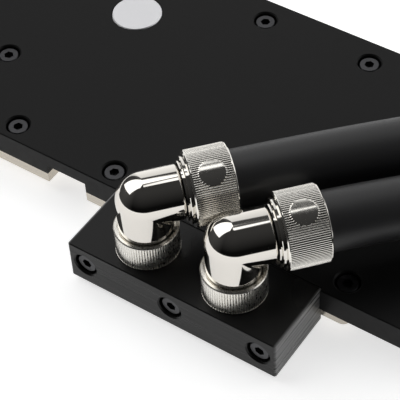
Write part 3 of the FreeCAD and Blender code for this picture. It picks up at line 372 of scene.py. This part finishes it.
def ridged_collar(side, ridges, material):
    """compression collar: plain rims, ridges between them and a bare round pad"""
    ring = COLLAR
    low, high = ring.start + ring.rim, ring.end - ring.rim
    rows = [(ring.radius, low + (high - low) * row / ring.rows) for row in range(1, ring.rows)]
    section = [(ring.bore, ring.start), (ring.radius - ring.edge, ring.start),
               (ring.radius, ring.start + ring.edge), (ring.radius, low),
               (ring.radius, low + STEP_WIDTH), *rows, (ring.radius, high - STEP_WIDTH),
               (ring.radius, high), (ring.radius, ring.end - ring.edge),
               (ring.radius - ring.edge, ring.end), (ring.neck, ring.end),
               (ring.neck, ring.shoulder), (ring.bore, ring.shoulder)]
    outward, left = outlet_turn() @ Vector((1, 0, 0)), outlet_turn() @ Vector((0, 1, 0))
    turn = Matrix((left, outward.cross(left), outward)).transposed().to_4x4()
    lean = math.radians(PAD_LEAN[side])
    middle = (ring.start + ring.end) / 2
    pad = Vector((-math.sin(lean) * ring.radius, math.cos(lean) * ring.radius, middle))
    made = ridged_ring("ridged_collar_" + side, section, (low, high), ridges,
                       Matrix.Translation(joint_place(side)) @ turn, pad)
    stand_in(made, "collar_" + side, "outlet_" + side, material)


def ridged_base(side, ridges, material):
    """rotary base: threaded stub with a seal groove, ridged band, and the socket of the swivel"""
    base = ROTARY_BASE
    low, high = base.band
    outer = [(base.bore, -base.stub), (base.thread, -base.stub), (base.thread, base.seal_depth),
             (base.seal_groove, base.seal_depth), (base.seal_groove, 0.0),
             (base.radius - base.foot_edge, 0.0), (base.radius, base.foot_edge), (base.radius, low),
             (base.radius, low + STEP_WIDTH), (base.radius, high - STEP_WIDTH), (base.radius, high),
             (base.radius, base.height - base.edge), (base.radius - base.edge, base.height)]
    inner = [(base.recess, base.height), (base.recess, base.height - base.recess_depth),
             (base.socket, base.height - base.recess_depth), (base.socket, base.clip_high),
             (base.clip_groove, base.clip_high), (base.clip_groove, base.clip_low),
             (base.socket, base.clip_low), (base.socket, base.socket_floor),
             (base.bore, base.socket_floor)]
    joint = joint_place(side)
    foot = Matrix.Translation((joint.x, joint.y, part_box("terminal_block")[1].z))
    made = ridged_ring("ridged_base_" + side, outer + inner, base.band, ridges, foot)
    stand_in(made, "rotary_base_" + side, "plate", material)


def stand_in(made, node, body, material):
    """let a piece take a node's place"""
    made.data.materials.append(material)
    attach(made, body)
    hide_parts(node)


# Hoses

# Fineness of a hose's mesh, round it and along it
HOSE_ROUNDNESS = 12
HOSE_STEPS = 40


def hose(side, outer, material):
    """rubber hose: one smooth curve from its collar down to the fitting on its far end"""
    curve = bpy.data.curves.new("hose_%s_rubber" % side, "CURVE")
    curve.dimensions = "3D"
    curve.bevel_depth = outer / 2
    curve.bevel_resolution = HOSE_ROUNDNESS
    curve.resolution_u = HOSE_STEPS
    curve.render_resolution_u = HOSE_STEPS
    curve.use_fill_caps = True
    route = [(HOSE_START, 0.0, 0.0)] + HOSE_ROUTES[side]
    points = [joint_place(side) + outlet_turn() @ (Vector(point) * MM) for point in route]
    spline = curve.splines.new("NURBS")
    spline.points.add(len(points) - 1)
    for control, point in zip(spline.points, points):
        control.co = (*point, 1.0)
    spline.order_u = 3
    spline.use_endpoint_u = True
    curve.materials.append(material)
    made = show("rubber_hose_" + side, curve)
    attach(made, "outlet_" + side)
    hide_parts("hose_" + side)


# Studio. Azimuths run from -Y towards +X, in degrees, as elevations do.

CAMERA = SimpleNamespace(sensor=36.0, lens=143.08, shift=(0.0069, 0.0104), near=0.01,
                         place=(190.754, -313.634, 393.463), azimuth=36.973, elevation=48.197,
                         roll=-3.932)
# Light of the dim room: from this height of a direction to that, from this strength to that
ROOM_OVERHEAD = (0.1, 0.95, 0.004, 0.04)
ROOM_LEFT_AZIMUTH = -80.0
ROOM_LEFT = (0.3, 0.9, 0.0, 0.05)
# A white wall stands behind the part, between two azimuths. It fades towards its ends and its top.
WALL_ENDS = (148.0, 175.0)
WALL_END_FADE = (0.0, 0.2, 0.35, 1.0)
WALL_TOP_FADE = (0.0, 0.75, 1.15, 0.8)
# Slope up to which the wall is lit, and how much light that part of it adds; its soft upper edge
WALL_PARTS = ((2.8, 0.98), (4.0, -0.07), (7.5, 0.1))
WALL_EDGE = (-0.05, 0.02)
# Soft boxes: corners as azimuth and elevation, and strength; the width of their soft edges
SOFT_BOXES = (
    ([(-97.0, 8.0), (-142.0, 51.0), (-155.0, 67.0), (-80.0, 82.0), (-44.0, 37.0)], 1.7),
    ([(-152.0, 72.0), (168.0, 74.0), (150.0, 81.0), (-165.0, 83.0)], 1.4),
)
SOFT_EDGE = 0.02
# Part of the floor that metal shows: a pool of light round this place, in metres, and all behind it
POOL_MIDDLE = (-0.055, -0.149, -0.0024)
POOL_EDGE = (0.2024, 0.2288)
POOL_BEHIND = (-0.12, -0.09)
# The paper, what lifts it to white for the eye and, a little less, for metal; the floor past the pool
PAPER = 0.75
PAPER_LIFT = 0.68
METAL_SHARE = 0.87
UNLIT = 0.004
WHITE = (1.0, 1.0, 1.0, 1.0)
FLOOR_MIDDLE = (0.02, -0.02)
FLOOR_SEGMENTS = 96


def camera():
    """camera at the photograph's viewing angle"""
    data = bpy.data.cameras.new("camera")
    data.sensor_width = CAMERA.sensor
    data.lens = CAMERA.lens
    data.shift_x, data.shift_y = CAMERA.shift
    data.clip_start = CAMERA.near
    made = show("camera", data)
    azimuth, elevation, roll = (math.radians(angle) for angle in
                                (CAMERA.azimuth, CAMERA.elevation, CAMERA.roll))
    turn = (Matrix.Rotation(azimuth, 4, "Z") @ Matrix.Rotation(math.pi / 2 - elevation, 4, "X")
            @ Matrix.Rotation(roll, 4, "Z"))
    made.matrix_world = Matrix.Translation(Vector(CAMERA.place) * MM) @ turn
    bpy.context.scene.camera = made


def toward(azimuth, elevation=0.0):
    """unit direction"""
    azimuth, elevation = math.radians(azimuth), math.radians(elevation)
    level = math.cos(elevation)
    return Vector((math.sin(azimuth) * level, -math.cos(azimuth) * level, math.sin(elevation)))


def soft_box(tree, direction, corners):
    """1 where a direction lies between these corners, with soft edges"""
    corners = [toward(*corner) for corner in corners]
    middle = sum(corners, Vector())
    inside = 1.0
    for first, second in zip(corners, corners[1:] + corners[:1]):
        side = first.cross(second).normalized()
        side = side if side.dot(middle) > 0 else -side
        from_side = add(tree, "ShaderNodeVectorMath", (direction, side), operation="DOT_PRODUCT")
        inside = add(tree, "ShaderNodeMath", (inside, from_side), operation="MINIMUM")
    return add(tree, "ShaderNodeMapRange", (inside, 0.0, SOFT_EDGE))


def white_wall(tree, direction, height):
    """light of the wall behind the part"""
    ends = [add(tree, "ShaderNodeVectorMath", (direction, toward(end)), operation="DOT_PRODUCT")
            for end in WALL_ENDS]
    inward = add(tree, "ShaderNodeMath", ends, operation="MINIMUM")
    end_fade = add(tree, "ShaderNodeMapRange", (inward, *WALL_END_FADE))
    top_fade = add(tree, "ShaderNodeMapRange", (height, *WALL_TOP_FADE))
    shade = add(tree, "ShaderNodeMath", (end_fade, top_fade), operation="MULTIPLY")
    light = 0.0
    for slope, strength in WALL_PARTS:
        top = add(tree, "ShaderNodeMath", (inward, slope), operation="MULTIPLY")
        below_top = add(tree, "ShaderNodeMath", (top, height), operation="SUBTRACT")
        part = add(tree, "ShaderNodeMapRange", (below_top, *WALL_EDGE, 0.0, strength))
        light = add(tree, "ShaderNodeMath", (part, shade, light), operation="MULTIPLY_ADD")
    return light


def studio_world():
    """white to the camera; to the part, a white wall behind it, two soft boxes and a dim room"""
    world = bpy.data.worlds.new("studio")
    bpy.context.scene.world = world
    world.use_nodes = True
    tree = world.node_tree
    tree.nodes.clear()
    direction = add(tree, "ShaderNodeTexCoord").outputs["Generated"]
    height = add(tree, "ShaderNodeSeparateXYZ", {"Vector": direction}).outputs["Z"]
    room_left = toward(ROOM_LEFT_AZIMUTH)
    left = add(tree, "ShaderNodeVectorMath", (direction, room_left), operation="DOT_PRODUCT")
    overhead_light = add(tree, "ShaderNodeMapRange", (height, *ROOM_OVERHEAD))
    left_light = add(tree, "ShaderNodeMapRange", (left, *ROOM_LEFT))
    light = add(tree, "ShaderNodeMath", (overhead_light, left_light), operation="ADD")
    wall = white_wall(tree, direction, height)
    light = add(tree, "ShaderNodeMath", (light, wall), operation="ADD")
    for corners, strength in SOFT_BOXES:
        box = soft_box(tree, direction, corners)
        light = add(tree, "ShaderNodeMath", (box, strength, light), operation="MULTIPLY_ADD")
    rays = add(tree, "ShaderNodeLightPath").outputs
    direct = (rays["Is Camera Ray"], rays["Is Transmission Ray"])
    seen = add(tree, "ShaderNodeMath", direct, operation="MAXIMUM")
    room = add(tree, "ShaderNodeBackground", {"Color": WHITE, "Strength": light})
    white = add(tree, "ShaderNodeBackground", {"Color": WHITE, "Strength": 1.0})
    mixed = add(tree, "ShaderNodeMixShader", (seen, room, white))
    add(tree, "ShaderNodeOutputWorld", {"Surface": mixed})


def floor_paper():
    """white paper: keeps the part's shadow, and stays white in what the metal shows"""
    material = bpy.data.materials.new("white_sweep")
    material.use_nodes = True
    tree = material.node_tree
    tree.nodes.clear()
    place = add(tree, "ShaderNodeTexCoord").outputs["Object"]
    reach = add(tree, "ShaderNodeVectorMath", (place, POOL_MIDDLE), operation="DISTANCE")
    round_middle = add(tree, "ShaderNodeMapRange", (reach, *POOL_EDGE, 1.0, 0.0))
    back = add(tree, "ShaderNodeSeparateXYZ", {"Vector": place}).outputs["Y"]
    behind = add(tree, "ShaderNodeMapRange", (back, *POOL_BEHIND))
    pool = add(tree, "ShaderNodeMath", (round_middle, behind), operation="MAXIMUM")
    rays = add(tree, "ShaderNodeLightPath").outputs
    in_metal = add(tree, "ShaderNodeMath", (rays["Is Glossy Ray"], pool), operation="MULTIPLY")
    in_metal = add(tree, "ShaderNodeMath", (in_metal, METAL_SHARE), operation="MULTIPLY")
    direct = (rays["Is Camera Ray"], rays["Is Transmission Ray"])
    seen = add(tree, "ShaderNodeMath", direct, operation="MAXIMUM")
    seen = add(tree, "ShaderNodeMath", (seen, in_metal), operation="MAXIMUM")
    lift = add(tree, "ShaderNodeMath", (seen, PAPER_LIFT), operation="MULTIPLY")
    paper = add(tree, "ShaderNodeBsdfDiffuse", {"Color": (PAPER, PAPER, PAPER, 1.0)})
    glow = add(tree, "ShaderNodeEmission", {"Color": WHITE, "Strength": lift})
    lit = add(tree, "ShaderNodeAddShader", (paper, glow))
    unlit = add(tree, "ShaderNodeEmission", {"Color": WHITE, "Strength": UNLIT})
    past_pool = add(tree, "ShaderNodeMath", (1.0, pool), operation="SUBTRACT")
    past_pool = add(tree, "ShaderNodeMath", (past_pool, rays["Is Glossy Ray"]), operation="MULTIPLY")
    shown = add(tree, "ShaderNodeMixShader", (past_pool, lit, unlit))
    add(tree, "ShaderNodeOutputMaterial", {"Surface": shown})
    return material


def floor(height, reach):
    """round floor under the part"""
    mesh = bpy.data.meshes.new("floor")
    shape = bmesh.new()
    bmesh.ops.create_circle(shape, cap_ends=True, radius=reach, segments=FLOOR_SEGMENTS,
                            matrix=Matrix.Translation((*FLOOR_MIDDLE, height)))
    shape.to_mesh(mesh)
    shape.free()
    mesh.materials.append(floor_paper())
    made = show("floor", mesh)


# Sizes and colours that a user would change

def length_of(name, description, metres):
    """a length"""
    return bpy.props.FloatProperty(name=name, description=description, default=metres,
                                   subtype="DISTANCE", unit="LENGTH")


def tilt_of(name, description, degrees):
    """an angle"""
    return bpy.props.FloatProperty(name=name, description=description, default=math.radians(degrees),
                                   subtype="ANGLE", unit="ROTATION")


def colour_of(name, description, hex_colour):
    """a colour"""
    return bpy.props.FloatVectorProperty(name=name, description=description, subtype="COLOR", size=4,
                                         min=0.0, max=1.0, default=linear(hex_colour))


class ColdPlateHoses(bpy.types.PropertyGroup):
    """Sizes of the hoses"""
    outer: length_of("Outside diameter", "Hose, outside", 19.0 * MM)
    length_a: length_of("Rear hose", "Its length between the fittings", 310.0 * MM)
    length_b: length_of("Front hose", "Its length between the fittings", 272.6 * MM)


class ColdPlateRidges(bpy.types.PropertyGroup):
    """Ridges on the turned rings"""
    collar_count: bpy.props.IntProperty(name="Ridges on a collar", description="All round it",
                                        default=104, min=12)
    collar_tilt: tilt_of("Collar ridge tilt", "How far the flanks lean where they meet", 50.0)
    base_count: bpy.props.IntProperty(name="Ridges on a rotary base", description="All round it",
                                      default=72, min=12)
    base_tilt: tilt_of("Base ridge tilt", "How far the flanks lean where they meet", 58.0)


class ColdPlateColours(bpy.types.PropertyGroup):
    """Colours of the finishes"""
    acetal: colour_of("Acetal", "Cover and terminal", "#151515")
    # painted reflection: the paler grey that the streaks on the terminal's two ends are drawn in
    painted_end_reflection: colour_of("Acetal, painted end reflection", "Painted reflection in the streaks on the terminal's two ends", "#A8A8A8")
    nickel: colour_of("Polished nickel", "Elbows and hose adapters", "#E2DED7")
    ridge_nickel: colour_of("Ridged nickel", "Collars and rotary bases", "#EEEBE4")
    base_nickel: colour_of("Satin nickel", "Base plate", "#CDC6BA")
    rubber: colour_of("Hose rubber", "Hoses", "#202021")
    seal: colour_of("Seal rubber", "Gaskets and O-rings", "#161616")
    screw: colour_of("Black oxide", "Screws", "#4A4A4C")
    badge: colour_of("Blasted aluminium", "Badge", "#E4E4E6")
    stainless: colour_of("Stainless steel", "Jet plate", "#C4C5C7")
    spring: colour_of("Spring steel", "Snap rings", "#6E7074")
    brass: colour_of("Brass", "Standoffs", "#D9B36A")


class ColdPlateStage(bpy.types.PropertyGroup):
    """Studio round the part"""
    floor_height: length_of("Floor height", "Tips of the standoffs", cad_box[0][2])
    floor_reach: length_of("Floor radius", "White paper round the part", 0.45)


# Steps

class COLDPLATE_OT_stage(bpy.types.Operator):
    """Set up the camera, the studio's light and the floor"""
    bl_idname = "coldplate.stage"
    bl_label = "Stage"

    def execute(self, context):
        stage = context.scene.coldplate_stage
        context.scene.view_settings.view_transform = "Standard"
        camera()
        studio_world()
        floor(stage.floor_height, stage.floor_reach)
        return {"FINISHED"}


class COLDPLATE_OT_hoses(bpy.types.Operator):
    """Lay the rubber hoses along their routes"""
    bl_idname = "coldplate.hoses"
    bl_label = "Hoses"

    def execute(self, context):
        sizes = context.scene.coldplate_hoses
        rubber = hose_rubber()
        hose("a", sizes.outer, rubber)
        hose("b", sizes.outer, rubber)
        return {"FINISHED"}


class COLDPLATE_OT_cover(bpy.types.Operator):
    """Finish the cover and the terminal block"""
    bl_idname = "coldplate.cover"
    bl_label = "Cover and Terminal"

    def execute(self, context):
        coat(black_acetal(), "cover_plate")
        coat(milled_acetal(), "terminal_block")
        return {"FINISHED"}


class COLDPLATE_OT_base(bpy.types.Operator):
    """Finish the base plate, and the jet plate in it"""
    bl_idname = "coldplate.base"
    bl_label = "Base Plate"

    def execute(self, context):
        coat(plated_base(), "base_plate")
        coat(rolled_stainless(), "jet_plate")
        return {"FINISHED"}


class COLDPLATE_OT_badge(bpy.types.Operator):
    """Finish the bare badge disc"""
    bl_idname = "coldplate.badge"
    bl_label = "Badge"

    def execute(self, context):
        coat(blasted_aluminium(), "badge_disc")
        return {"FINISHED"}


class COLDPLATE_OT_fasteners(bpy.types.Operator):
    """Finish the screws and the standoffs"""
    bl_idname = "coldplate.fasteners"
    bl_label = "Fasteners"

    def execute(self, context):
        coat(black_oxide_steel(), "cover_screws", "terminal_screws")
        coat(turned_brass(), "board_standoffs")
        return {"FINISHED"}


class COLDPLATE_OT_elbows(bpy.types.Operator):
    """Finish the swivel elbows, their snap rings and the hose adapters"""
    bl_idname = "coldplate.elbows"
    bl_label = "Elbows"

    def execute(self, context):
        coat(polished_nickel(), *both("elbow", "hose_barb", "end_barb"))
        coat(spring_steel(), *both("swivel_clip"))
        return {"FINISHED"}


class COLDPLATE_OT_ridged_rings(bpy.types.Operator):
    """Turn the ridged bases and collars of the elbows, and finish the collars on the far ends"""
    bl_idname = "coldplate.ridged_rings"
    bl_label = "Ridged Rings"

    def execute(self, context):
        ridges = context.scene.coldplate_ridges
        satin, knurl = satin_nickel(), knurled_nickel()
        for side in SIDES:
            ridged_base(side, (ridges.base_count, ridges.base_tilt), satin)
            ridged_collar(side, (ridges.collar_count, ridges.collar_tilt), knurl)
        coat(knurl, *both("end_collar"))
        return {"FINISHED"}


class COLDPLATE_OT_seals(bpy.types.Operator):
    """Finish the gaskets and O-rings"""
    bl_idname = "coldplate.seals"
    bl_label = "Seals"

    def execute(self, context):
        coat(seal_rubber(), "cover_gasket",
             *both("terminal_gasket", "port_seal", "swivel_seal", "barb_seal", "end_seal"))
        return {"FINISHED"}


class COLDPLATE_PT_panel(bpy.types.Panel):
    """Sizes, colours and steps of the cold plate"""
    bl_idname = "COLDPLATE_PT_panel"
    bl_label = "Cold Plate"
    bl_space_type = "VIEW_3D"
    bl_region_type = "UI"
    bl_category = "Cold Plate"

    def draw(self, context):
        for name, kind in GROUPS.items():
            for field in kind.__annotations__:
                self.layout.prop(getattr(context.scene, name), field)
        for operator in OPERATORS:
            self.layout.operator(operator.bl_idname)


GROUPS = {
    "coldplate_hoses": ColdPlateHoses, "coldplate_ridges": ColdPlateRidges,
    "coldplate_colours": ColdPlateColours, "coldplate_stage": ColdPlateStage,
}
OPERATORS = (COLDPLATE_OT_stage, COLDPLATE_OT_hoses, COLDPLATE_OT_cover, COLDPLATE_OT_base,
             COLDPLATE_OT_badge, COLDPLATE_OT_fasteners, COLDPLATE_OT_elbows,
             COLDPLATE_OT_ridged_rings, COLDPLATE_OT_seals)
CLASSES = (*GROUPS.values(), *OPERATORS, COLDPLATE_PT_panel)


def register():
    """make the groups, the steps and the panel known"""
    for item in CLASSES:
        bpy.utils.register_class(item)
    for name, kind in GROUPS.items():
        setattr(bpy.types.Scene, name, bpy.props.PointerProperty(type=kind))


def unregister():
    """take them away again"""
    for name in GROUPS:
        delattr(bpy.types.Scene, name)
    for item in reversed(CLASSES):
        bpy.utils.unregister_class(item)


def main():
    """dress the part"""
    register()
    bpy.ops.coldplate.stage()
    bpy.ops.coldplate.hoses()
    bpy.ops.coldplate.cover()
    bpy.ops.coldplate.base()
    bpy.ops.coldplate.badge()
    bpy.ops.coldplate.fasteners()
    bpy.ops.coldplate.elbows()
    bpy.ops.coldplate.ridged_rings()
    bpy.ops.coldplate.seals()


if __name__ == "__main__":
    main()
